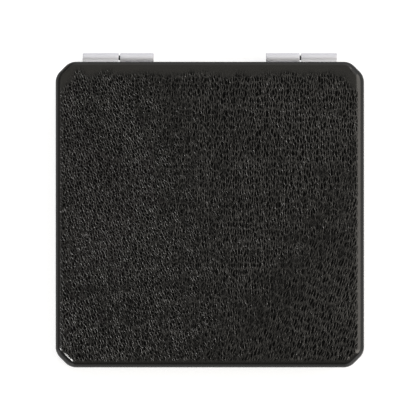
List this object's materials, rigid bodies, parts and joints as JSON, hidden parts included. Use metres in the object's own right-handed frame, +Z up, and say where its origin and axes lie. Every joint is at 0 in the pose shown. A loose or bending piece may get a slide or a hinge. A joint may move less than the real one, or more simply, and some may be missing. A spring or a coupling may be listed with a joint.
{
  "type": "compact mirror",
  "caption": "Square folding pocket mirror covered in black leather, with cut corners and small back hinges; a flat mirror in the lid faces a magnifying mirror in the base.",
  "frame": {"origin": "centre of the underside of the lower half", "axes": "+X right, +Y to the hinges at the back, +Z up through the closed case"},
  "size_m": [0.065, 0.0663, 0.009],
  "materials": {
    "leather": "black artificial leather, pebbled grain, satin",
    "foam": "thin closed-cell foam",
    "tray_plastic": "black moulded plastic, matte",
    "frame_plastic": "black moulded plastic, smooth",
    "mirror": "silvered glass",
    "hinge_metal": "satin nickel plate",
    "pin_steel": "drawn steel wire",
    "magnet_nickel": "bright nickel plate"
  },
  "bodies": {
    "base": {"base_leather": "leather", "base_padding": "foam", "base_tray": "tray_plastic", "base_frame": "frame_plastic", "base_mirror_tape": "foam", "base_mirror": "mirror", "base_magnets": "magnet_nickel", "base_hinge_leaf_left": "hinge_metal", "base_hinge_leaf_right": "hinge_metal", "base_hinge_rivets": "pin_steel", "hinge_pin_left": "pin_steel", "hinge_pin_right": "pin_steel"},
    "lid": {"lid_leather": "leather", "lid_padding": "foam", "lid_tray": "tray_plastic", "lid_frame": "frame_plastic", "lid_mirror_tape": "foam", "lid_mirror": "mirror", "lid_strike_discs": "magnet_nickel", "lid_hinge_leaf_left": "hinge_metal", "lid_hinge_leaf_right": "hinge_metal", "lid_hinge_rivets": "pin_steel"}
  },
  "joints": [
    {"name": "lid_hinge", "type": "hinge", "parent": "base", "child": "lid", "pos_m": [0, 0.0331, 0.0045], "axis": [-1, 0, 0], "range_deg": [0, 180]}
  ]
}
